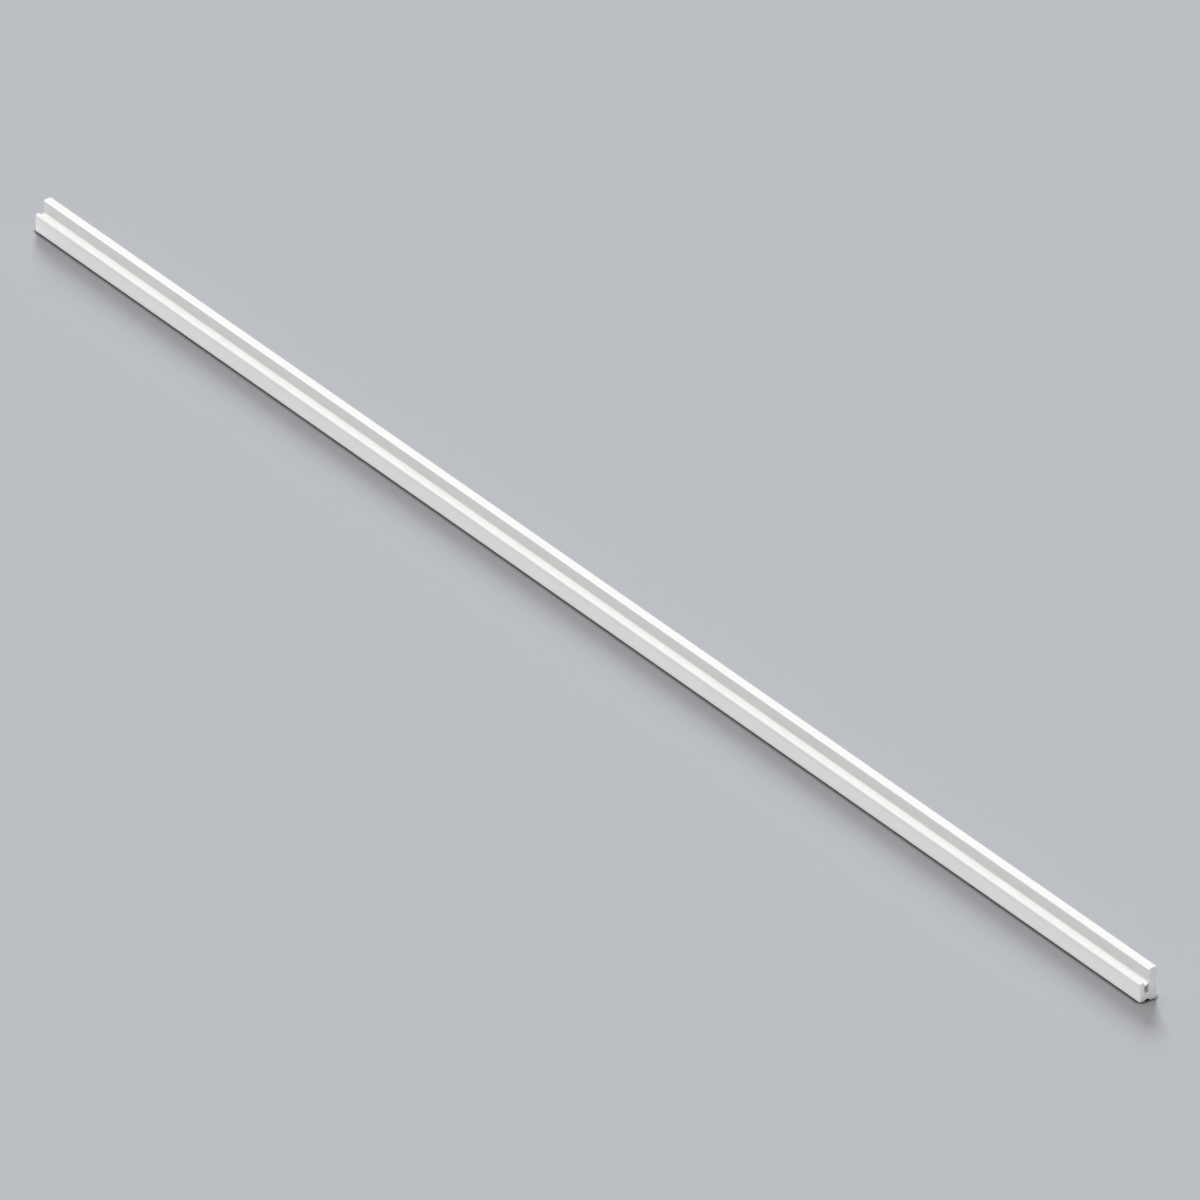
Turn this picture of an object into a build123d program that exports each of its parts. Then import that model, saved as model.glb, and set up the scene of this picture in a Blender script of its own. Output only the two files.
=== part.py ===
"""Divider moulding: one straight length of extruded cellular PVC trim.

The section is an L. A low, broad body carries a taller web along its back, and the step
between them is the rebate that receives the edge of a board. The body's front lip is crowned
and falls into a narrow gutter, the ledge climbs from there to the web, a hollow chamber runs
under the ledge, and the underside is relieved so that the stock stands on two feet.

Lengths are in millimetres. X runs along the stock, Y from the front face to the back face and
Z up. The origin is at the middle of the length and of the depth, on the floor.
"""

from build123d import *
import os

# Overall size
LENGTH = 2438.4
DEPTH = 22.9
HEIGHT = 41.3

# Rebate: the step in front of the web
REBATE_DEPTH = 12.5
LEDGE_HEIGHT = 23.1

# Front lip, with the gutter behind it
LIP_HEIGHT = 23.1
LIP_CROWN_RISE = 1.2
LIP_CROWN_SETBACK = 3.6
LIP_SHOULDER_SETBACK = 6.2
LIP_SHOULDER_HEIGHT = 23.5
GUTTER_SETBACK = 7.7
GUTTER_HEIGHT = 20.6

# Hollow chamber under the ledge
FRONT_WALL = 6.5
LEDGE_SKIN = 1.1
CHAMBER_FLOOR = 10.6

# Relief in the underside, between the two feet
FRONT_FOOT = 6.0
RELIEF_DEPTH = 2.3
RELIEF_FRONT_RUN = 4.9
RELIEF_BACK_RUN = 3.1

# Fall of the web's crowned top, from the back to the front
WEB_TOP_FALL = 0.8

# Rounds left by the die
FRONT_FOOT_ROUND = 0.6
BACK_FOOT_ROUND = 0.4
RELIEF_ROUND = 1.6
LIP_FRONT_ROUND = 1.0
LIP_BACK_ROUND = 0.8
GUTTER_ROUND = 0.5
REBATE_ROUND = 0.8
WEB_FRONT_ROUND = 2.6
WEB_BACK_ROUND = 0.4
CHAMBER_ROUND = 0.8

# Places across the section, with the depth centred on the origin
front = -DEPTH / 2
back = DEPTH / 2
web_front = front + REBATE_DEPTH

# Corners of the outline, each as (across, up)
front_foot_corner = (front, 0)
relief_front_corner = (front + FRONT_FOOT, 0)
relief_crest = (front + FRONT_FOOT + RELIEF_FRONT_RUN, RELIEF_DEPTH)
relief_back_corner = (front + FRONT_FOOT + RELIEF_FRONT_RUN + RELIEF_BACK_RUN, 0)
back_foot_corner = (back, 0)
web_back_corner = (back, HEIGHT)
web_front_corner = (web_front, HEIGHT - WEB_TOP_FALL)
rebate_corner = (web_front, LEDGE_HEIGHT)
gutter_corner = (front + GUTTER_SETBACK, GUTTER_HEIGHT)
lip_back_corner = (front + LIP_SHOULDER_SETBACK, LIP_SHOULDER_HEIGHT)
lip_crown = (front + LIP_CROWN_SETBACK, LIP_HEIGHT + LIP_CROWN_RISE)
lip_front_corner = (front, LIP_HEIGHT)

# The chamber's roof runs parallel to the ledge, one skin below it
ledge_run = web_front - gutter_corner[0]
ledge_slope = (LEDGE_HEIGHT - GUTTER_HEIGHT) / ledge_run
skin_drop = LEDGE_SKIN * (1 + ledge_slope**2) ** 0.5
chamber_front = front + FRONT_WALL
chamber_roof_back = LEDGE_HEIGHT - skin_drop
chamber_roof_front = chamber_roof_back - ledge_slope * (web_front - chamber_front)
chamber_corners = (
    (chamber_front, CHAMBER_FLOOR),
    (web_front, CHAMBER_FLOOR),
    (web_front, chamber_roof_back),
    (chamber_front, chamber_roof_front),
)

corner_rounds = (
    (front_foot_corner, FRONT_FOOT_ROUND),
    (relief_front_corner, RELIEF_ROUND),
    (relief_back_corner, RELIEF_ROUND),
    (back_foot_corner, BACK_FOOT_ROUND),
    (web_back_corner, WEB_BACK_ROUND),
    (web_front_corner, WEB_FRONT_ROUND),
    (rebate_corner, REBATE_ROUND),
    (gutter_corner, GUTTER_ROUND),
    (lip_back_corner, LIP_BACK_ROUND),
    (lip_front_corner, LIP_FRONT_ROUND),
)

with BuildPart() as divider_moulding:
    with BuildSketch(Plane.YZ) as section:
        with BuildLine():
            # underside, from the front foot over the relief to the back foot
            Line(front_foot_corner, relief_front_corner)
            TangentArc(relief_crest, relief_front_corner, tangent=(-1, 0))
            TangentArc(relief_crest, relief_back_corner, tangent=(1, 0))
            Polyline(relief_back_corner, back_foot_corner, web_back_corner)
            # web's crowned top, then down its front into the rebate
            TangentArc(web_back_corner, web_front_corner, tangent=(-1, 0))
            Polyline(web_front_corner, rebate_corner, gutter_corner, lip_back_corner)
            # crown of the lip, then down the front face
            ThreePointArc(lip_back_corner, lip_crown, lip_front_corner)
            Line(lip_front_corner, front_foot_corner)
        make_face()
        for corner, radius in corner_rounds:
            fillet(section.vertices().sort_by_distance(corner)[0], radius)
        with BuildSketch(mode=Mode.PRIVATE) as chamber:
            with BuildLine():
                Polyline(*chamber_corners, close=True)
            make_face()
            fillet(chamber.vertices(), CHAMBER_ROUND)
        add(chamber.sketch, mode=Mode.SUBTRACT)
    extrude(amount=LENGTH / 2, both=True)

os.makedirs("parts", exist_ok=True)
divider_moulding.part.label = "divider_moulding"
export_step(divider_moulding.part, "parts/divider_moulding.step")
print("section area, mm2:", round(divider_moulding.part.volume / LENGTH, 1))
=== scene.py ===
"""Looks of the divider moulding: one straight length of satin white, foamed plastic trim.

The section is drawn from its own sizes, a node tree sweeps it along the stock, and the skin,
the sawn ends and the inside of the chamber each have a finish of their own. Lengths are in
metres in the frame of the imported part: X along the stock, Y from the front face to the back
and Z up from the floor.
"""

import logging
import math
from abc import ABC, abstractmethod
from collections.abc import Iterable, Sequence
from dataclasses import dataclass, fields
from enum import Enum

import bmesh
import bpy
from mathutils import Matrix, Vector


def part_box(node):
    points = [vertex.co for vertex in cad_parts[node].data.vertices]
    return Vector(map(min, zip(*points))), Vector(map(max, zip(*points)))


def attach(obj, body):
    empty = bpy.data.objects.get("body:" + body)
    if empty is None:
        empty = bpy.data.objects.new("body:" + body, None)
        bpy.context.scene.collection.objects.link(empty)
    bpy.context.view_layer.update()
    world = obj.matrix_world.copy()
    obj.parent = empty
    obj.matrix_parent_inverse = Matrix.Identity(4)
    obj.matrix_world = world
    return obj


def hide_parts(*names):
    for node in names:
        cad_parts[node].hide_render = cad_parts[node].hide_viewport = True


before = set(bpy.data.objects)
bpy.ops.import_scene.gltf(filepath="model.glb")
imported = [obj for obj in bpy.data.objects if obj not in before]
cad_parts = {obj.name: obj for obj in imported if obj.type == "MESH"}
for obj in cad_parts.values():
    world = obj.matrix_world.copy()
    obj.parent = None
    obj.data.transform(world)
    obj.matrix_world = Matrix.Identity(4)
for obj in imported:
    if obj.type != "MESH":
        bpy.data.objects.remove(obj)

LOG = logging.getLogger("divider_moulding")
MM = 0.001
CAD_NODE = "divider_moulding"
BODY = "root"
OUTWARD = "outward"
NOISE_MIDDLE = 0.5

Point = tuple[float, float]
Span = tuple[float, float]
Tint = tuple[float, float, float]
Colour = tuple[float, float, float, float]
Socket = bpy.types.NodeSocket
Sockets = bpy.types.bpy_prop_collection


class Zone(Enum):
    """The surfaces of the stock that differ in finish, by the order of their materials."""

    SKIN = "extruded_skin"
    CHAMBER = "chamber_wall"
    SAWN = "sawn_end"

    @property
    def label(self) -> str:
        """Returns the name of the zone's material input in the node tree."""
        return self.name.title()


class NodeMaker:
    """Adds nodes to one tree and links them, so that a tree reads as a list of steps."""

    def __init__(self, tree: bpy.types.NodeTree) -> None:
        """Takes the shader or geometry node tree that the nodes go into."""
        self.tree = tree

    def feed(self, socket: Socket, value: object) -> None:
        """Links a socket to another one, or sets its constant.

        Args:
            socket: The input to fill.
            value: An output socket, or a plain value for the input.
        """
        if isinstance(value, Socket):
            self.tree.links.new(value, socket)
        else:
            socket.default_value = value

    def add(
        self, kind: str, inputs: dict[str | int, object] | None = None, **settings: object
    ) -> bpy.types.Node:
        """Adds one node.

        Args:
            kind: The node's type name.
            inputs: Values or output sockets by input name or number.
            **settings: The node's own properties.

        Returns:
            The new node.
        """
        node = self.tree.nodes.new(kind)
        for name, value in settings.items():
            setattr(node, name, value)
        for key, value in (inputs or {}).items():
            self.feed(node.inputs[key], value)
        return node

    def math(self, operation: str, *values: object) -> Socket:
        """Adds a Math node for an operation such as ADD and returns its result."""
        node = self.add("ShaderNodeMath", dict(enumerate(values)), operation=operation)
        return node.outputs["Value"]

    def total(self, first: object, *rest: object) -> Socket:
        """Adds up several numbers from left to right.

        Args:
            first: The first number or its socket.
            *rest: The others.

        Returns:
            The sum's socket.
        """
        for value in rest:
            first = self.math("ADD", first, value)
        return first

    def times(self, value: object, factor: object) -> Socket:
        """Multiplies two numbers, each given as a value or a socket."""
        return self.math("MULTIPLY", value, factor)

    def vector(self, operation: str, *values: object) -> Socket:
        """Adds a Vector Math node for an operation such as SUBTRACT and returns its vector."""
        node = self.add("ShaderNodeVectorMath", dict(enumerate(values)), operation=operation)
        return node.outputs["Vector"]

    def combine(self, x: object = 0.0, y: object = 0.0, z: object = 0.0) -> Socket:
        """Joins three numbers, each given as a value or a socket, into a vector."""
        return self.add("ShaderNodeCombineXYZ", {"X": x, "Y": y, "Z": z}).outputs["Vector"]

    def split(self, vector: Socket) -> Sockets:
        """Splits a vector into sockets named X, Y and Z."""
        return self.add("ShaderNodeSeparateXYZ", {"Vector": vector}).outputs

    def scaled(self, vector: object, factor: object) -> Socket:
        """Multiplies a vector by a number, each given as a value or a socket."""
        node = self.add("ShaderNodeVectorMath", {0: vector, "Scale": factor}, operation="SCALE")
        return node.outputs["Vector"]

    def remap(
        self, value: object, low: object, high: object, to_low: float = 0.0, to_high: float = 1.0
    ) -> Socket:
        """Maps a value from one range to another, smoothly and clamped.

        Args:
            value: The value's socket.
            low: Start of the range read.
            high: End of the range read.
            to_low: Result at the start.
            to_high: Result at the end.

        Returns:
            The result's socket.
        """
        inputs = {"Value": value, 1: low, 2: high, 3: to_low, 4: to_high}
        node = self.add("ShaderNodeMapRange", inputs, interpolation_type="SMOOTHSTEP")
        return node.outputs["Result"]

    def noise(
        self, vector: object, scale: object, detail: float = 2.0, roughness: float = 0.5
    ) -> Socket:
        """Adds a noise texture and returns its value, from 0 to 1.

        Args:
            vector: Where to read it.
            scale: Features for each unit of the vector.
            detail: Octaves.
            roughness: Strength of the finer octaves.

        Returns:
            The value's socket.
        """
        inputs = {"Vector": vector, "Scale": scale, "Detail": detail, "Roughness": roughness}
        node = self.add("ShaderNodeTexNoise", inputs)
        return node.outputs[0]

    def own_place(self) -> Socket:
        """Returns the object's own coordinates in millimetres."""
        return self.scaled(self.add("ShaderNodeTexCoord").outputs["Object"], 1 / MM)

    def group(self, tree: bpy.types.NodeTree, values: dict[str, object]) -> Sockets:
        """Places a shader node group with some inputs set and returns its outputs by name."""
        return self.add("ShaderNodeGroup", values, node_tree=tree).outputs

    def blend(self, factor: Socket, low: Colour, high: Colour) -> Socket:
        """Mixes two colours by a factor that is clamped to 0 and 1."""
        inputs = {"Factor": factor, 6: low, 7: high}
        return self.add("ShaderNodeMix", inputs, data_type="RGBA", clamp_factor=True).outputs[2]

    def moved(self, geometry: Socket, offset: Socket) -> Socket:
        """Shifts each point of a geometry by an offset."""
        node = self.add("GeometryNodeSetPosition", {"Geometry": geometry, "Offset": offset})
        return node.outputs["Geometry"]


def empty_tree(owner: bpy.types.Material | bpy.types.World) -> NodeMaker:
    """Gives a material or a world an empty node tree.

    Args:
        owner: The material or the world.

    Returns:
        The maker for its tree.
    """
    owner.use_nodes = True
    owner.node_tree.nodes.clear()
    return NodeMaker(owner.node_tree)


def add_object(name: str, data: bpy.types.ID) -> bpy.types.Object:
    """Adds an object to the scene.

    Args:
        name: The object's name.
        data: Its mesh, light or camera.

    Returns:
        The object.
    """
    made = bpy.data.objects.new(name, data)
    bpy.context.scene.collection.objects.link(made)
    return made


class EffectGroups:
    """Shader effects that more than one finish uses, each built once as a node group."""

    FINE_LINES = 2.6
    BROAD_BANDS = 0.34
    RUB_SLANT = 0.004
    RUB_THREADS = 5.5
    RUB_WIDTH = 0.012
    RUB_PATCHES = 0.021
    RUB_PATCH_EDGE = (0.53, 0.68)
    DUST_SPECKS = 2.3
    DUST_EDGE = (0.69, 0.76)

    def __init__(self) -> None:
        """Builds the groups."""
        self.die_lines = self._die_lines()
        self.stipple = self._stipple()
        self.handling = self._handling()

    @staticmethod
    def _start(
        name: str, inputs: dict[str, float], outputs: Sequence[str]
    ) -> tuple[NodeMaker, Sockets, Sockets]:
        """Starts a group with named float inputs and outputs.

        Args:
            name: The group's name.
            inputs: Default value of each input.
            outputs: Names of the outputs.

        Returns:
            The maker for its tree, the sockets that it is given and those that it fills.
        """
        tree = bpy.data.node_groups.new(name, "ShaderNodeTree")
        for label, value in inputs.items():
            socket = tree.interface.new_socket(label, in_out="INPUT", socket_type="NodeSocketFloat")
            socket.default_value = value
        for label in outputs:
            tree.interface.new_socket(label, in_out="OUTPUT", socket_type="NodeSocketFloat")
        maker = NodeMaker(tree)
        return maker, maker.add("NodeGroupInput").outputs, maker.add("NodeGroupOutput").inputs

    @staticmethod
    def _drawn_out(
        maker: NodeMaker, place: tuple[Socket, Socket, Socket], run: Socket, pitch: Socket
    ) -> Socket:
        """Scales a place so that a noise read there is drawn out along the stock.

        Args:
            maker: The group's node maker.
            place: The place's X, Y and Z.
            run: Length of the noise's features along the stock.
            pitch: Their width across it.

        Returns:
            The scaled place.
        """
        along, across, up = place
        return maker.combine(
            maker.math("DIVIDE", along, run),
            maker.math("DIVIDE", across, pitch),
            maker.math("DIVIDE", up, pitch),
        )

    def _die_lines(self) -> bpy.types.NodeTree:
        """Fine lines that the die draws along the stock, and the faint bands between them.

        Returns:
            The group.
        """
        inputs = {"Pitch": 1.1, "Run": 900.0}
        maker, given, result = self._start("die_lines", inputs, ("Height", "Band"))
        place = maker.split(maker.own_place())
        axes = (place["X"], place["Y"], place["Z"])
        streak = self._drawn_out(maker, axes, given["Run"], given["Pitch"])
        fine = maker.noise(streak, self.FINE_LINES, detail=3.0, roughness=0.62)
        maker.feed(result["Height"], fine)
        maker.feed(result["Band"], maker.noise(streak, self.BROAD_BANDS, detail=1.0))
        return maker.tree

    def _stipple(self) -> bpy.types.NodeTree:
        """The faint orange peel and cloudiness of a foamed skin.

        Returns:
            The group.
        """
        inputs = {"Grain": 0.8, "Cloud": 38.0}
        maker, given, result = self._start("foam_stipple", inputs, ("Height", "Mottle"))
        place = maker.own_place()
        grain = maker.math("DIVIDE", 1.0, given["Grain"])
        cloud = maker.math("DIVIDE", 1.0, given["Cloud"])
        maker.feed(result["Height"], maker.noise(place, grain, detail=3.0, roughness=0.55))
        maker.feed(result["Mottle"], maker.noise(place, cloud, detail=4.0, roughness=0.6))
        return maker.tree

    def _handling(self) -> bpy.types.NodeTree:
        """Light rub marks from other lengths sliding past, and a little dust in patches.

        Returns:
            The group.
        """
        inputs = {"Length": 420.0, "Spacing": 9.0, "Amount": 0.5}
        maker, given, result = self._start("handling_marks", inputs, ("Rub", "Dust"))
        place = maker.own_place()
        axes = maker.split(place)
        slant = maker.times(axes["X"], self.RUB_SLANT)
        across = maker.math("ADD", axes["Y"], slant)
        up = maker.math("SUBTRACT", axes["Z"], slant)
        path = self._drawn_out(maker, (axes["X"], across, up), given["Length"], given["Spacing"])
        woven = maker.noise(path, self.RUB_THREADS, detail=1.0)
        thread = maker.math("SUBTRACT", woven, NOISE_MIDDLE)
        line = maker.remap(maker.math("ABSOLUTE", thread), 0.0, self.RUB_WIDTH, 1.0, 0.0)
        patchy = maker.noise(place, self.RUB_PATCHES, detail=3.0)
        rub = maker.times(line, maker.remap(patchy, *self.RUB_PATCH_EDGE))
        specks = maker.noise(place, self.DUST_SPECKS, detail=1.0)
        dust = maker.remap(specks, *self.DUST_EDGE)
        maker.feed(result["Rub"], maker.times(rub, given["Amount"]))
        maker.feed(result["Dust"], maker.times(dust, given["Amount"]))
        return maker.tree


@dataclass(frozen=True, kw_only=True)
class Finish(ABC):
    """A finish of the foamed plastic: its two colours, its gloss and its fine relief."""

    name: str
    colour: Colour
    shade: Colour
    roughness: float
    bump_distance: float
    bump_strength: float
    ior: float = 1.53
    cloud_edge: Span = (0.3, 0.7)

    @abstractmethod
    def _effects(self, maker: NodeMaker, groups: EffectGroups) -> tuple[Socket, Socket, Socket]:
        """Returns the share of the second colour, the roughness and the relief's height."""

    def material(self, groups: EffectGroups) -> bpy.types.Material:
        """Builds the material.

        Args:
            groups: The shared effects.

        Returns:
            The material.
        """
        material = bpy.data.materials.new(self.name)
        maker = empty_tree(material)
        tone, roughness, height = self._effects(maker, groups)
        relief = {"Height": height, "Distance": self.bump_distance, "Strength": self.bump_strength}
        inputs = {
            "Base Color": maker.blend(tone, self.colour, self.shade),
            "Roughness": roughness,
            "Normal": maker.add("ShaderNodeBump", relief).outputs["Normal"],
            "IOR": self.ior,
        }
        shader = maker.add("ShaderNodeBsdfPrincipled", inputs)
        maker.add("ShaderNodeOutputMaterial", {"Surface": shader.outputs["BSDF"]})
        return material


@dataclass(frozen=True, kw_only=True)
class PlasticFinish(Finish):
    """The plastic as the die leaves it, with how strong each effect is."""

    line_pitch: float
    line_relief: float
    stipple_grain: float
    stipple_relief: float
    mottle: float
    rub: float
    band_edge: Span = (0.35, 0.65)
    band_gloss: float = 0.22
    rub_tone: float = 0.5
    rub_dulling: float = 0.25
    rub_depth: float = 0.12

    def _effects(self, maker: NodeMaker, groups: EffectGroups) -> tuple[Socket, Socket, Socket]:
        """Adds the die's lines, the stipple, the clouds and the marks of handling.

        Args:
            maker: The material's node maker.
            groups: The shared effects.

        Returns:
            How much there is of the second colour, the roughness and the relief's height.
        """
        lines = maker.group(groups.die_lines, {"Pitch": self.line_pitch})
        stipple = maker.group(groups.stipple, {"Grain": self.stipple_grain})
        marks = maker.group(groups.handling, {"Amount": self.rub})

        cloud = maker.times(maker.remap(stipple["Mottle"], *self.cloud_edge), self.mottle)
        band = maker.times(maker.remap(lines["Band"], *self.band_edge), self.mottle)
        tone = maker.total(cloud, band, maker.times(marks["Rub"], self.rub_tone))

        swing = maker.math("SUBTRACT", lines["Band"], NOISE_MIDDLE)
        dulled = maker.times(maker.total(marks["Rub"], marks["Dust"]), self.rub_dulling)
        rough = maker.total(maker.times(swing, self.band_gloss), dulled, self.roughness)

        lined = maker.times(lines["Height"], self.line_relief)
        peeled = maker.times(stipple["Height"], self.stipple_relief)
        scratch = maker.times(marks["Rub"], self.rub_depth)
        return tone, rough, maker.math("SUBTRACT", maker.total(lined, peeled), scratch)


@dataclass(frozen=True, kw_only=True)
class SawnFinish(Finish):
    """The cut ends: a fine closed-cell core with the arcs of the saw blade across it."""

    cell: float
    cloud: float
    tooth_pitch: float
    blade_centre: Point
    pore_edge: Span = (0.05, 0.62)
    tear_scale: float = 0.9
    tear_gloss: float = 0.12
    arc_wobble: float = 1.6
    cloud_tone: float = 0.45
    # Strength of the painted shade in the cells' hollows.
    pore_painted_shade: float = 0.5
    arc_tone: float = 0.18
    pore_relief: float = 0.6
    arc_relief: float = 0.5
    peel_relief: float = 0.5

    def _saw_arcs(self, maker: NodeMaker, place: Socket, torn: Socket) -> Socket:
        """Draws the arcs that the saw's teeth leave.

        Args:
            maker: The material's node maker.
            place: The object's own coordinates in millimetres.
            torn: The coarse noise that bends the arcs.

        Returns:
            The arcs, from 0 to 1.
        """
        from_centre = maker.vector("SUBTRACT", place, Vector((0.0, *self.blade_centre)))
        flat = maker.vector("MULTIPLY", from_centre, Vector((0.0, 1.0, 1.0)))
        reach = maker.add("ShaderNodeVectorMath", {0: flat}, operation="LENGTH").outputs["Value"]
        bent = maker.total(reach, maker.times(torn, self.arc_wobble))
        turns = maker.math("DIVIDE", bent, self.tooth_pitch / math.tau)
        return maker.remap(maker.math("SINE", turns), -1.0, 1.0)

    def _effects(self, maker: NodeMaker, groups: EffectGroups) -> tuple[Socket, Socket, Socket]:
        """Adds the cells, with painted shade in their hollows, the saw's arcs and the clouds.

        Args:
            maker: The material's node maker.
            groups: The shared effects.

        Returns:
            How much there is of the second colour, the roughness and the relief's height.
        """
        place = maker.own_place()
        cells = maker.add("ShaderNodeTexVoronoi", {"Vector": place, "Scale": 1 / self.cell})
        pores = maker.remap(cells.outputs["Distance"], *self.pore_edge)
        torn = maker.noise(place, self.tear_scale, detail=3.0, roughness=0.6)
        arcs = self._saw_arcs(maker, place, torn)
        stipple = maker.group(groups.stipple, {"Grain": self.cell * 2, "Cloud": self.cloud})

        cloud = maker.remap(stipple["Mottle"], *self.cloud_edge, 0.0, self.cloud_tone)
        # Painted shade: the cells' hollows, where the relief is lowest, are coloured darker.
        painted_pit_shade = maker.times(maker.math("SUBTRACT", 1.0, pores), self.pore_painted_shade)
        tone = maker.total(cloud, painted_pit_shade, maker.times(arcs, self.arc_tone))
        rough = maker.total(maker.times(torn, self.tear_gloss), self.roughness)
        height = maker.total(
            maker.times(pores, self.pore_relief),
            maker.times(arcs, self.arc_relief),
            maker.times(stipple["Height"], self.peel_relief),
        )
        return tone, rough, height


FINISHES: dict[Zone, Finish] = {
    Zone.SKIN: PlasticFinish(
        name="satin_skin",
        colour=(0.90, 0.895, 0.885, 1.0),
        shade=(0.83, 0.825, 0.815, 1.0),
        roughness=0.42,
        line_pitch=1.1,
        line_relief=0.8,
        stipple_grain=0.9,
        stipple_relief=0.6,
        mottle=0.22,
        rub=0.35,
        bump_distance=0.06 * MM,
        bump_strength=0.8,
    ),
    Zone.CHAMBER: PlasticFinish(
        name="chamber_wall",
        # The plastic's own colour, set a little lighter than the skin as painted light that lifts
        # the shaded hollow.
        colour=(0.92, 0.915, 0.905, 1.0),
        shade=(0.86, 0.855, 0.845, 1.0),
        roughness=0.6,
        line_pitch=1.6,
        line_relief=0.8,
        stipple_grain=0.6,
        stipple_relief=1.0,
        mottle=0.3,
        rub=0.0,
        bump_distance=0.06 * MM,
        bump_strength=0.7,
    ),
    Zone.SAWN: SawnFinish(
        name="sawn_core",
        colour=(0.88, 0.88, 0.87, 1.0),
        shade=(0.70, 0.70, 0.69, 1.0),
        roughness=0.72,
        bump_distance=0.1 * MM,
        bump_strength=0.8,
        ior=1.5,
        cell=0.24,
        cloud=10.5833333,
        tooth_pitch=0.9,
        blade_centre=(-30.0, -110.0),
    ),
}


def arc_from_tangent(start: Point, tangent: Point, end: Point, steps: int) -> list[Point]:
    """Points of the circular arc that leaves a point along a tangent and ends at another.

    Args:
        start: First point.
        tangent: Unit direction at the first point.
        end: Last point.
        steps: How many chords the arc has.

    Returns:
        The points, with both ends.
    """
    run = (end[0] - start[0], end[1] - start[1])
    side = (-tangent[1], tangent[0])
    offset = (run[0] ** 2 + run[1] ** 2) / (2 * (run[0] * side[0] + run[1] * side[1]))
    centre = (start[0] + side[0] * offset, start[1] + side[1] * offset)
    first = math.atan2(start[1] - centre[1], start[0] - centre[0])
    last = math.atan2(end[1] - centre[1], end[0] - centre[0])
    sweep = math.remainder(last - first, math.tau)
    radius = abs(offset)
    return [
        (
            centre[0] + radius * math.cos(first + sweep * i / steps),
            centre[1] + radius * math.sin(first + sweep * i / steps),
        )
        for i in range(steps + 1)
    ]


def arc_through(start: Point, middle: Point, end: Point, steps: int) -> list[Point]:
    """Points of the circular arc through three points.

    Args:
        start: First point.
        middle: A point on the arc.
        end: Last point.
        steps: How many chords the arc has.

    Returns:
        The points, with both ends.
    """
    turned = (middle[0] - start[0], middle[1] - start[1])
    chord = (end[0] - start[0], end[1] - start[1])
    back = (end[0] - middle[0], end[1] - middle[1])
    cross = turned[0] * back[1] - turned[1] * back[0]
    dot = turned[0] * back[0] + turned[1] * back[1]
    corner = math.atan2(cross, dot)
    heading = math.atan2(chord[1], chord[0]) - corner
    return arc_from_tangent(start, (math.cos(heading), math.sin(heading)), end, steps)


def outward_ways(line: Sequence[Vector]) -> list[Vector]:
    """The way out of the plastic at each point of a closed line.

    Args:
        line: The points, anticlockwise round the plastic or clockwise round a hollow.

    Returns:
        One unit vector for each point.
    """
    ways = []
    for i, point in enumerate(line):
        into = (point - line[i - 1]).normalized()
        out = (line[(i + 1) % len(line)] - point).normalized()
        along = (into + out).normalized()
        ways.append(Vector((along.y, -along.x)))
    return ways


class ClosedLine:
    """A closed line of short chords, in which corners can be rounded and long runs divided."""

    def __init__(self, points: Iterable[Point]) -> None:
        """Takes the points in order, without the first one again at the end."""
        self.points = [Vector(p) for p in points]

    def _walk(self, index: int, step: int, distance: float) -> tuple[Vector, int]:
        """Goes a distance along the line from one of its points.

        Args:
            index: The point to start at.
            step: 1 to go forwards, -1 to go back.
            distance: How far to go.

        Returns:
            The place reached and the index of the first point not passed.
        """
        here = self.points[index]
        while True:
            index = (index + step) % len(self.points)
            leg = self.points[index] - here
            if leg.length >= distance:
                return here + leg.normalized() * distance, index
            distance -= leg.length
            here = self.points[index]

    def round(self, corner: Point, radius: float, steps: int) -> None:
        """Replaces a corner by an arc that is tangent to both sides.

        Args:
            corner: The corner's place.
            radius: The arc's radius.
            steps: How many chords the arc has.
        """
        count = len(self.points)
        at = min(range(count), key=lambda i: (self.points[i] - Vector(corner)).length)
        tip = self.points[at]
        into = (tip - self.points[at - 1]).normalized()
        out = (self.points[(at + 1) % count] - tip).normalized()
        half_turn = into.angle(out) / 2
        reach = radius * math.tan(half_turn)
        start, before = self._walk(at, -1, reach)
        end, after = self._walk(at, 1, reach)
        weight = math.cos(half_turn)
        arc = []
        for i in range(steps + 1):
            t = i / steps
            shares = ((1 - t) ** 2, 2 * weight * t * (1 - t), t**2)
            arc.append((start * shares[0] + tip * shares[1] + end * shares[2]) / sum(shares))
        kept = [self.points[(after + i) % count] for i in range((before - after) % count + 1)]
        self.points = arc + kept

    def divide(self, longest: float) -> None:
        """Divides every chord that is longer than a given length.

        Args:
            longest: The longest chord that stays whole.
        """
        divided = []
        for a, b in zip(self.points, self.points[1:] + self.points[:1]):
            parts = max(1, math.ceil((b - a).length / longest))
            divided.extend(a.lerp(b, i / parts) for i in range(parts))
        self.points = divided


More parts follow.
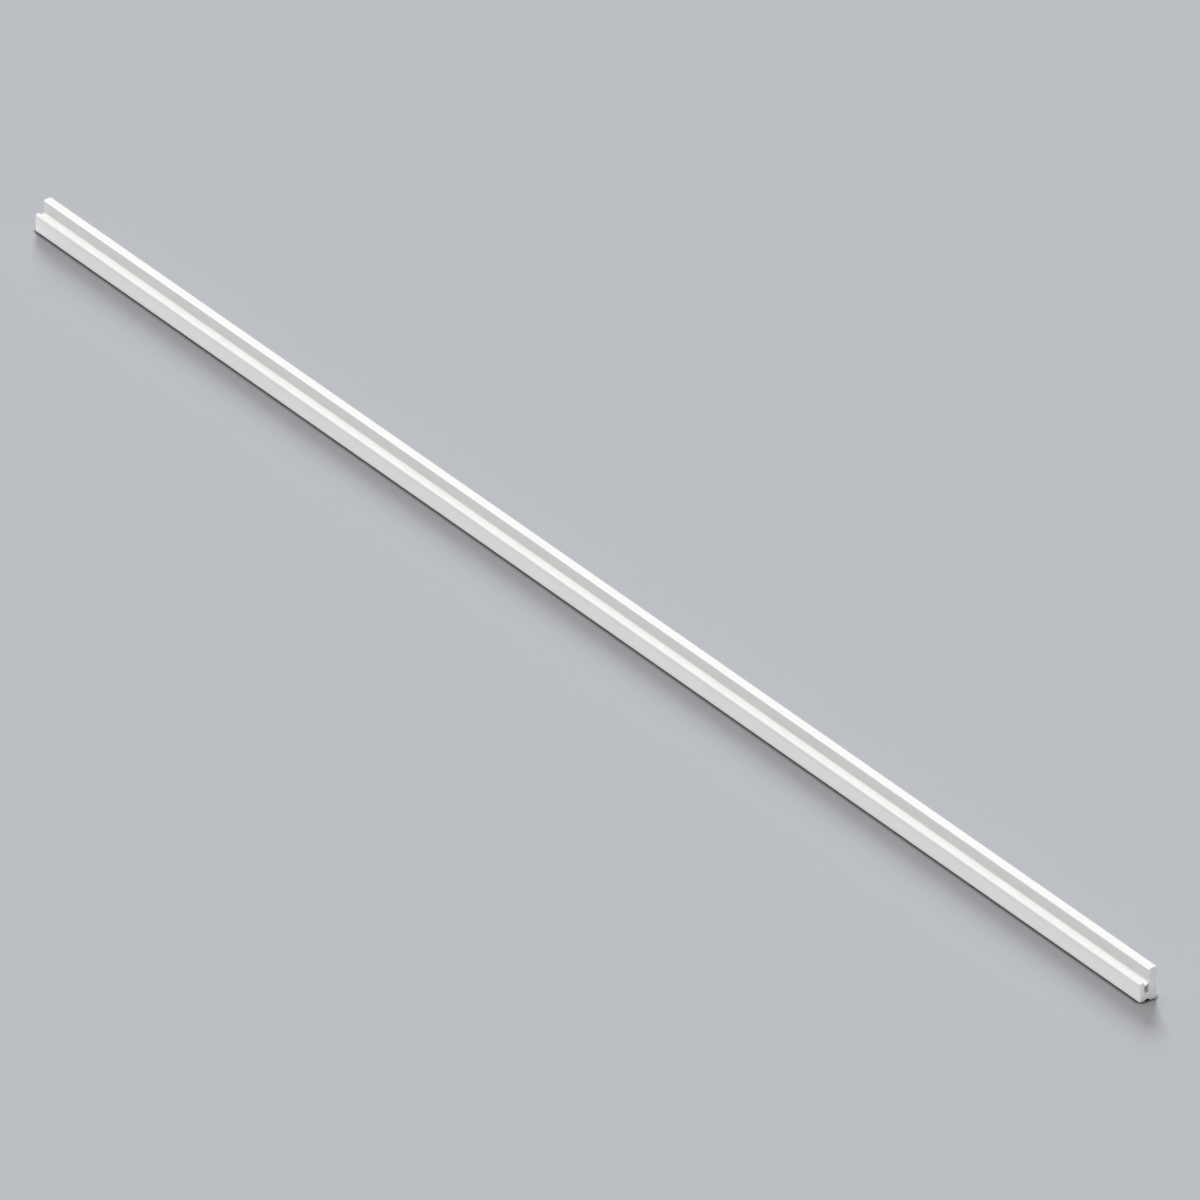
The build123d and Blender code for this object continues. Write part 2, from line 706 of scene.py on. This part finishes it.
@dataclass(frozen=True)
class Section:
    """The sizes of the section, in metres from the front face and from the floor."""

    depth: float
    height: float
    rebate_depth: float = 12.5 * MM
    ledge_height: float = 23.1 * MM
    lip_height: float = 23.1 * MM
    lip_crown_rise: float = 1.2 * MM
    lip_crown_setback: float = 3.6 * MM
    lip_shoulder_setback: float = 6.2 * MM
    lip_shoulder_height: float = 23.5 * MM
    gutter_setback: float = 7.7 * MM
    gutter_height: float = 20.6 * MM
    front_wall: float = 6.5 * MM
    ledge_skin: float = 1.1 * MM
    chamber_floor: float = 10.6 * MM
    front_foot: float = 6.0 * MM
    relief_depth: float = 2.3 * MM
    relief_front_run: float = 4.9 * MM
    relief_back_run: float = 3.1 * MM
    web_top_fall: float = 0.8 * MM
    foot_front_round: float = 0.6 * MM
    foot_back_round: float = 0.4 * MM
    relief_round: float = 1.6 * MM
    lip_front_round: float = 1.0 * MM
    lip_back_round: float = 0.8 * MM
    gutter_round: float = 0.5 * MM
    rebate_round: float = 0.8 * MM
    web_front_round: float = 2.6 * MM
    web_back_round: float = 0.4 * MM
    chamber_round: float = 0.8 * MM
    arc_steps: int = 18
    round_steps: int = 8
    grain_step: float = 0.6 * MM

    def outline(self) -> list[Vector]:
        """The outer line, anticlockwise from the front foot.

        Returns:
            Its points, as across and up.
        """
        front, back = -self.depth / 2, self.depth / 2
        web_front = front + self.rebate_depth
        crest_across = front + self.front_foot + self.relief_front_run
        foot_front = (front, 0.0)
        relief_front = (front + self.front_foot, 0.0)
        relief_crest = (crest_across, self.relief_depth)
        relief_back = (crest_across + self.relief_back_run, 0.0)
        foot_back = (back, 0.0)
        web_back = (back, self.height)
        web_tip = (web_front, self.height - self.web_top_fall)
        rebate = (web_front, self.ledge_height)
        gutter = (front + self.gutter_setback, self.gutter_height)
        shoulder = (front + self.lip_shoulder_setback, self.lip_shoulder_height)
        crown = (front + self.lip_crown_setback, self.lip_height + self.lip_crown_rise)
        lip_front = (front, self.lip_height)

        rise = arc_from_tangent(relief_crest, (-1.0, 0.0), relief_front, self.arc_steps)[::-1]
        fall = arc_from_tangent(relief_crest, (1.0, 0.0), relief_back, self.arc_steps)
        web_top = arc_from_tangent(web_back, (-1.0, 0.0), web_tip, self.arc_steps)
        lip_top = arc_through(shoulder, crown, lip_front, self.arc_steps)
        line = ClosedLine(
            [foot_front, *rise, *fall[1:], foot_back, *web_top, rebate, gutter, *lip_top]
        )
        corners = (
            (foot_front, self.foot_front_round),
            (relief_front, self.relief_round),
            (relief_back, self.relief_round),
            (foot_back, self.foot_back_round),
            (web_back, self.web_back_round),
            (web_tip, self.web_front_round),
            (rebate, self.rebate_round),
            (gutter, self.gutter_round),
            (shoulder, self.lip_back_round),
            (lip_front, self.lip_front_round),
        )
        for corner, radius in corners:
            line.round(corner, radius, self.round_steps)
        line.divide(self.grain_step)
        return line.points

    def chamber(self) -> list[Vector]:
        """The line of the hollow chamber, clockwise.

        Returns:
            Its points, as across and up.
        """
        front = -self.depth / 2
        web_front = front + self.rebate_depth
        wall = front + self.front_wall
        run = self.rebate_depth - self.gutter_setback
        slope = (self.ledge_height - self.gutter_height) / run
        roof_back = self.ledge_height - self.ledge_skin * math.hypot(1.0, slope)
        roof_front = roof_back - slope * (web_front - wall)
        corners = (
            (wall, self.chamber_floor),
            (wall, roof_front),
            (web_front, roof_back),
            (web_front, self.chamber_floor),
        )
        line = ClosedLine(corners)
        for corner in corners:
            line.round(corner, self.chamber_round, self.round_steps)
        line.divide(self.grain_step)
        return line.points


@dataclass(frozen=True)
class Sweep:
    """The sizes of the rule that makes the stock from its section, in metres."""

    length: float
    stations: int = 96
    arris: float = 0.3 * MM
    line_depth: float = 0.03 * MM
    line_pitch: float = 1.4 * MM
    sag_depth: float = 0.06 * MM
    sag_wave: float = 310 * MM
    sag_settle: float = 40 * MM
    merge_distance: float = 0.003 * MM
    seed: float = 4.7

    def sizes(self) -> dict[str, float | int]:
        """Returns each size by the name of its input in the node tree."""
        names = [size.name for size in fields(self)]
        return {name.replace("_", " ").title(): getattr(self, name) for name in names}


class SweepTree:
    """The node tree that sweeps the section, with a named input for each size and material."""

    SOCKET_KINDS = {float: "NodeSocketFloat", int: "NodeSocketInt"}
    INDEX_SLACK = 0.1
    SAWN_FACING = 0.9
    CHAMBER_MARK = 0.5

    def __init__(self, sweep: Sweep) -> None:
        """Builds the tree.

        Args:
            sweep: The sizes that it has inputs for.
        """
        self.tree = bpy.data.node_groups.new("sweep_section", "GeometryNodeTree")
        self._declare("Section", "NodeSocketGeometry")
        for label, value in sweep.sizes().items():
            self._declare(label, self.SOCKET_KINDS[type(value)])
        for zone in Zone:
            self._declare(zone.label, "NodeSocketMaterial")
        self._declare("Stock", "NodeSocketGeometry", side="OUTPUT")
        maker = self.maker = NodeMaker(self.tree)
        self.given = maker.add("NodeGroupInput").outputs
        self.place = maker.add("GeometryNodeInputPosition").outputs["Position"]
        self.facing = self._attribute(OUTWARD, "FLOAT_VECTOR")
        self.half = maker.times(self.given["Length"], 0.5)

        profile = self._die_lined()
        inputs = {"Curve": self._rail(), "Profile Curve": profile, "Fill Caps": False}
        swept = maker.add("GeometryNodeCurveToMesh", inputs).outputs["Mesh"]
        joined = self._joined([self._eased(swept), *self._caps(profile)])
        maker.add("NodeGroupOutput", {"Stock": self._dressed(joined)})

    def _declare(self, label: str, kind: str, side: str = "INPUT") -> None:
        """Adds an input or an output to the tree's interface."""
        self.tree.interface.new_socket(label, in_out=side, socket_type=kind)

    def _attribute(self, name: str, kind: str) -> Socket:
        """Reads one of the section's attributes, of a kind such as FLOAT."""
        node = self.maker.add("GeometryNodeInputNamedAttribute", {"Name": name}, data_type=kind)
        return node.outputs["Attribute"]

    def _die_lined(self) -> Socket:
        """Turns the section's edges into a curve and presses the die's lines into it.

        Returns:
            The profile curve.
        """
        maker, given = self.maker, self.given
        curve = maker.add("GeometryNodeMeshToCurve", {"Mesh": given["Section"]}).outputs["Curve"]
        shifted = maker.vector("ADD", self.place, maker.combine(z=given["Seed"]))
        wave = maker.noise(shifted, maker.math("DIVIDE", 1.0, given["Line Pitch"]), detail=2.0)
        depth = maker.times(maker.math("SUBTRACT", NOISE_MIDDLE, wave), given["Line Depth"])
        return maker.moved(curve, maker.scaled(self.facing, depth))

    def _rail(self) -> Socket:
        """Draws a line along the stock, with a station one arris in from each end.

        Returns:
            The rail curve.
        """
        maker, given = self.maker, self.given
        start = maker.combine(x=maker.times(self.half, -1.0))
        ends = {"Start": start, "End": maker.combine(x=self.half)}
        line = maker.add("GeometryNodeCurvePrimitiveLine", ends).outputs["Curve"]
        inputs = {"Curve": line, "Count": given["Stations"]}
        stations = maker.add("GeometryNodeResampleCurve", inputs, mode="COUNT").outputs["Curve"]
        index = maker.add("GeometryNodeInputIndex").outputs["Index"]
        last = maker.math("SUBTRACT", given["Stations"], 1.0)
        before_last = maker.math("SUBTRACT", last, 1.0)
        at_second = maker.math("COMPARE", index, 1.0, self.INDEX_SLACK)
        at_before_last = maker.math("COMPARE", index, before_last, self.INDEX_SLACK)
        step = maker.math("SUBTRACT", maker.math("DIVIDE", given["Length"], last), given["Arris"])
        shift = maker.times(maker.math("SUBTRACT", at_before_last, at_second), step)
        inputs = {"Curve": maker.moved(stations, maker.combine(x=shift)), "Tilt": math.pi}
        return maker.add("GeometryNodeSetCurveTilt", inputs).outputs["Curve"]

    def _eased(self, walls: Socket) -> Socket:
        """Eases the sawn edges and lets the faces wander a little between the ends.

        Args:
            walls: The swept walls.

        Returns:
            The eased walls.
        """
        maker, given = self.maker, self.given
        from_middle = maker.math("ABSOLUTE", maker.split(self.place)["X"])
        from_end = maker.math("SUBTRACT", self.half, from_middle)
        at_end = maker.math("LESS_THAN", from_end, maker.times(given["Arris"], 0.5))
        ease = maker.times(at_end, given["Arris"])
        wave = maker.noise(self.place, maker.math("DIVIDE", 1.0, given["Sag Wave"]), detail=1.0)
        swing = maker.times(maker.math("SUBTRACT", wave, NOISE_MIDDLE), given["Sag Depth"])
        sag = maker.times(swing, maker.remap(from_end, 0.0, given["Sag Settle"]))
        flat = maker.split(self.facing)
        across = maker.combine(y=flat["X"], z=flat["Y"])
        return maker.moved(walls, maker.scaled(across, maker.math("SUBTRACT", sag, ease)))

    def _caps(self, profile: Socket) -> tuple[Socket, Socket]:
        """Fills the two cut faces inside their eased edges, with the chamber left open.

        Args:
            profile: The profile curve.

        Returns:
            The near face and the far face.
        """
        maker = self.maker
        inwards = maker.scaled(self.facing, maker.times(self.given["Arris"], -1.0))
        eased = maker.moved(profile, inwards)
        face = maker.add("GeometryNodeFillCurve", {"Curve": eased}, mode="TRIANGLES")
        flat = maker.split(self.place)
        caps = []
        for side in (1.0, -1.0):
            spot = maker.combine(maker.times(self.half, side), flat["X"], flat["Y"])
            inputs = {"Geometry": face.outputs["Mesh"], "Position": spot}
            caps.append(maker.add("GeometryNodeSetPosition", inputs).outputs["Geometry"])
        near, far = caps
        return near, maker.add("GeometryNodeFlipFaces", {"Mesh": far}).outputs["Mesh"]

    def _joined(self, parts: Iterable[Socket]) -> Socket:
        """Joins the walls and the cut faces where they meet.

        Args:
            parts: The walls and the two faces.

        Returns:
            The whole mesh.
        """
        maker = self.maker
        joined = maker.add("GeometryNodeJoinGeometry")
        for part in parts:
            maker.feed(joined.inputs["Geometry"], part)
        inputs = {"Geometry": joined.outputs["Geometry"], "Distance": self.given["Merge Distance"]}
        whole = maker.add("GeometryNodeMergeByDistance", inputs).outputs["Geometry"]
        return maker.add("GeometryNodeRealizeInstances", {"Geometry": whole}).outputs["Geometry"]

    def _dressed(self, stock: Socket) -> Socket:
        """Gives each face the material of its zone.

        Args:
            stock: The whole mesh.

        Returns:
            The dressed mesh.
        """
        maker = self.maker
        normal = maker.add("GeometryNodeInputNormal").outputs["Normal"]
        facing = maker.math("ABSOLUTE", maker.split(normal)["X"])
        marked = self._attribute(Zone.CHAMBER.value, "FLOAT")
        choices = {
            Zone.SKIN: True,
            Zone.CHAMBER: maker.math("GREATER_THAN", marked, self.CHAMBER_MARK),
            Zone.SAWN: maker.math("GREATER_THAN", facing, self.SAWN_FACING),
        }
        for zone, chosen in choices.items():
            inputs = {"Geometry": stock, "Selection": chosen, "Material": self.given[zone.label]}
            stock = maker.add("GeometryNodeSetMaterial", inputs).outputs["Geometry"]
        return stock


@dataclass
class MouldingStock:
    """The one length of moulding, from its section to its dressed mesh."""

    section: Section
    sweep: Sweep
    smooth_angle: float = math.radians(26)

    def _section_object(self) -> bpy.types.Object:
        """Makes the section's two closed lines as loose edges, with the chamber marked.

        Returns:
            The section.
        """
        outline, chamber = self.section.outline(), self.section.chamber()
        points, edges = [], []
        for line in (outline, chamber):
            first, count = len(points), len(line)
            points.extend((p.x, p.y, 0.0) for p in line)
            edges.extend((first + i, first + (i + 1) % count) for i in range(count))
        mesh = bpy.data.meshes.new("section")
        mesh.from_pydata(points, edges, [])
        mark = mesh.attributes.new(Zone.CHAMBER.value, "FLOAT", "POINT")
        mark.data.foreach_set("value", [0.0] * len(outline) + [1.0] * len(chamber))
        facing = mesh.attributes.new(OUTWARD, "FLOAT_VECTOR", "POINT")
        ways = outward_ways(outline) + outward_ways(chamber)
        facing.data.foreach_set("vector", [value for way in ways for value in (*way, 0.0)])
        return add_object("section", mesh)

    def build(self, finishes: dict[Zone, bpy.types.Material]) -> bpy.types.Object:
        """Sweeps the section and returns the finished piece.

        Args:
            finishes: The material of each zone.

        Returns:
            The moulding as one closed mesh.
        """
        source = self._section_object()
        tree = SweepTree(self.sweep).tree
        modifier = source.modifiers.new("sweep_section", "NODES")
        modifier.node_group = tree
        values = self.sweep.sizes() | {zone.label: finishes[zone] for zone in Zone}
        for item in tree.interface.items_tree:
            if item.in_out == "INPUT" and item.name in values:
                modifier[item.identifier] = values[item.name]
        graph = bpy.context.evaluated_depsgraph_get()
        graph.update()
        mesh = bpy.data.meshes.new_from_object(
            source.evaluated_get(graph), preserve_all_data_layers=True, depsgraph=graph
        )
        source.modifiers.clear()
        bpy.data.objects.remove(source)
        mesh.name = "moulding_stock"
        self._finish_mesh(mesh)
        return add_object("moulding_stock", mesh)

    def _finish_mesh(self, mesh: bpy.types.Mesh) -> None:
        """Points the faces outwards and shades the rounds smooth.

        Args:
            mesh: The swept mesh.
        """
        work = bmesh.new()
        work.from_mesh(mesh)
        bmesh.ops.recalc_face_normals(work, faces=work.faces)
        if work.calc_volume(signed=True) < 0:
            bmesh.ops.reverse_faces(work, faces=work.faces)
        loose = sum(not edge.is_manifold for edge in work.edges)
        slots = list(mesh.materials)
        used = [finish for finish in slots if finish]
        for face in work.faces:
            face.material_index = used.index(slots[face.material_index])
        mesh.materials.clear()
        for finish in used:
            mesh.materials.append(finish)
        work.to_mesh(mesh)
        work.free()
        mesh.shade_smooth()
        mesh.set_sharp_from_angle(angle=self.smooth_angle)
        LOG.info("stock mesh: %d faces, %d open edges", len(mesh.polygons), loose)


class Lit(Enum):
    """What a lamp lights."""

    ALL = "all"
    STOCK = "stock"
    FLOOR = "floor"


@dataclass(frozen=True)
class Lamp:
    """One broad, distant lamp, with its angles in degrees.

    Azimuth 0 is towards -Y and a quarter turn is towards +X. A lamp that is for sheen only
    shows in reflections and adds no light to a matt surface.
    """

    name: str
    strength: float
    spread: float
    azimuth: float
    elevation: float
    lit: Lit = Lit.ALL
    tint: Tint = (1.0, 1.0, 1.0)
    sheen_only: bool = False


@dataclass
class Studio:
    """The plain floor, the soft light and the camera. Angles are in degrees."""

    floor_colour: Colour = (0.513, 0.524, 0.549, 1.0)
    floor_half: float = 60.0
    contact_reach: float = 6.5 * MM
    contact_shade: float = 0.93
    contact_start: float = 0.6
    contact_samples: int = 4
    sky_colour: Colour = (1.0, 0.982, 0.958, 1.0)
    sky_strength: float = 0.345
    lamps: tuple[Lamp, ...] = (
        Lamp("soft_key", 0.91, 75, 238, 58),
        Lamp("overhead", 1.49, 16, 0, 90, Lit.STOCK),
        Lamp("side_fill", 0.5, 40, 90, 12, Lit.STOCK),
        Lamp("floor_key", 3.3, 20, 238, 23, Lit.FLOOR, (0.94, 0.97, 1.03)),
        Lamp("round_sheen", 4.0, 22, 314, 20, Lit.STOCK, sheen_only=True),
    )
    fill_power: float = 0.36
    fill_length: float = 2.7
    fill_width: float = 0.055
    fill_front: float = -0.0117
    fill_height: float = 0.0004
    frame_pixels: float = 1200.0
    focal_pixels: float = 16238.0
    sensor: float = 36.0
    camera_azimuth: float = 57.04
    camera_elevation: float = 26.87
    camera_distance: float = 19.459
    target: tuple[float, float, float] = (0.0519, 0.0094, 0.0150)
    clip: Span = (0.1, 200.0)

    def floor(self) -> bpy.types.Object:
        """Lays a plain pale floor, with painted contact shade that darkens its colour right beside
        what stands on it.

        Returns:
            The floor.
        """
        half = self.floor_half
        mesh = bpy.data.meshes.new("floor")
        corners = [(-half, -half, 0.0), (half, -half, 0.0), (half, half, 0.0), (-half, half, 0.0)]
        mesh.from_pydata(corners, [], [(0, 1, 2, 3)])
        material = bpy.data.materials.new("studio_floor")
        maker = empty_tree(material)
        # Painted contact shade: ambient occlusion blends the floor's colour towards a dark copy
        # within a few millimetres of the stock.
        near = maker.add(
            "ShaderNodeAmbientOcclusion",
            {"Distance": self.contact_reach},
            samples=self.contact_samples,
        )
        inputs = {"Value": near.outputs["AO"], 1: self.contact_start, 2: 1.0}
        clear = maker.add("ShaderNodeMapRange", inputs).outputs["Result"]
        shaded = tuple(channel * (1 - self.contact_shade) for channel in self.floor_colour[:3])
        colour = maker.blend(clear, (*shaded, 1.0), self.floor_colour)
        shader = maker.add("ShaderNodeBsdfDiffuse", {"Color": colour})
        maker.add("ShaderNodeOutputMaterial", {"Surface": shader.outputs["BSDF"]})
        mesh.materials.append(material)
        return add_object("floor", mesh)

    def light(self, stock: bpy.types.Object, floor: bpy.types.Object) -> None:
        """Sets the sky's even light, the lamps and the low strip that stands in for bounced light.

        Args:
            stock: The piece, for the lamps that light it alone.
            floor: The floor, for the lamp that lights it alone.
        """
        self._sky()
        receivers = {Lit.ALL: None, Lit.STOCK: stock, Lit.FLOOR: floor}
        for lamp in self.lamps:
            self._hang(lamp, receivers[lamp.lit])
        self._low_fill()

    def _sky(self) -> None:
        """Makes a sky that lights softly and is seen in the floor's colour."""
        world = bpy.data.worlds.new("studio_sky")
        maker = empty_tree(world)
        path = maker.add("ShaderNodeLightPath").outputs
        rays = [path[f"Is {kind} Ray"] for kind in ("Camera", "Glossy", "Transmission")]
        looked_at = maker.math("MINIMUM", maker.total(*rays), 1.0)
        seen = {"Color": self.floor_colour, "Strength": 1.0}
        lighting = {"Color": self.sky_colour, "Strength": self.sky_strength}
        inputs = {0: looked_at}
        for slot, look in enumerate((lighting, seen), start=1):
            inputs[slot] = maker.add("ShaderNodeBackground", look).outputs["Background"]
        mixed = maker.add("ShaderNodeMixShader", inputs)
        maker.add("ShaderNodeOutputWorld", {"Surface": mixed.outputs["Shader"]})
        bpy.context.scene.world = world

    def _low_fill(self) -> None:
        """Lays the low strip in front of the stock."""
        panel = bpy.data.lights.new("low_fill", "AREA")
        panel.shape = "RECTANGLE"
        panel.size = self.fill_length
        panel.size_y = self.fill_width
        panel.energy = self.fill_power
        fill = add_object("low_fill", panel)
        fill.location = (0.0, self.fill_front - self.fill_width / 2, self.fill_height)
        fill.rotation_euler = (math.pi, 0.0, 0.0)
        fill.visible_camera = False

    def _hang(self, lamp: Lamp, receiver: bpy.types.Object | None) -> None:
        """Hangs one lamp.

        Args:
            lamp: The lamp.
            receiver: The only object that it lights, or None for all.
        """
        light = bpy.data.lights.new(lamp.name, "SUN")
        light.energy = lamp.strength
        light.color = lamp.tint
        light.angle = math.radians(lamp.spread)
        sun = add_object(lamp.name, light)
        sun.visible_diffuse = not lamp.sheen_only
        self._aim(sun, self._direction(lamp.azimuth, lamp.elevation))
        if receiver:
            group = bpy.data.collections.new(f"{lamp.name}_lights")
            group.objects.link(receiver)
            sun.light_linking.receiver_collection = group

    @staticmethod
    def _direction(azimuth: float, elevation: float) -> Vector:
        """The unit direction from the object towards a place round it.

        Args:
            azimuth: Degrees from -Y towards +X.
            elevation: Degrees above the horizon.

        Returns:
            The direction.
        """
        round_z, up = math.radians(azimuth), math.radians(elevation)
        level = math.cos(up)
        return Vector((math.sin(round_z) * level, -math.cos(round_z) * level, math.sin(up)))

    @staticmethod
    def _aim(thing: bpy.types.Object, back: Vector) -> None:
        """Turns a lamp or a camera, upright, so that its back is towards a direction."""
        thing.rotation_mode = "QUATERNION"
        thing.rotation_quaternion = back.to_track_quat("Z", "Y")

    def camera(self) -> None:
        """Stands the camera where the photograph was taken from."""
        data = bpy.data.cameras.new("camera")
        data.sensor_width = self.sensor
        data.lens = self.focal_pixels / self.frame_pixels * self.sensor
        data.clip_start, data.clip_end = self.clip
        camera = add_object("camera", data)
        back = self._direction(self.camera_azimuth, self.camera_elevation)
        camera.location = Vector(self.target) + back * self.camera_distance
        self._aim(camera, back)
        bpy.context.scene.camera = camera

    def set_up(self, stock: bpy.types.Object) -> None:
        """Puts up the whole studio.

        Args:
            stock: The piece that stands in it.
        """
        floor = self.floor()
        self.light(stock, floor)
        self.camera()
        bpy.context.scene.view_settings.view_transform = "Standard"
        LOG.info("studio ready")


def main() -> None:
    """Builds the moulding and the studio."""
    logging.basicConfig(level=logging.INFO, format="%(name)s: %(message)s")
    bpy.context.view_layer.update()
    low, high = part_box(CAD_NODE)
    groups = EffectGroups()
    finishes = {zone: finish.material(groups) for zone, finish in FINISHES.items()}
    stock = MouldingStock(
        section=Section(depth=high.y - low.y, height=high.z),
        sweep=Sweep(length=high.x - low.x),
    ).build(finishes)
    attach(stock, BODY)
    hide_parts(CAD_NODE)
    LOG.info("moulding dressed")
    Studio().set_up(stock)


if __name__ == "__main__":
    main()
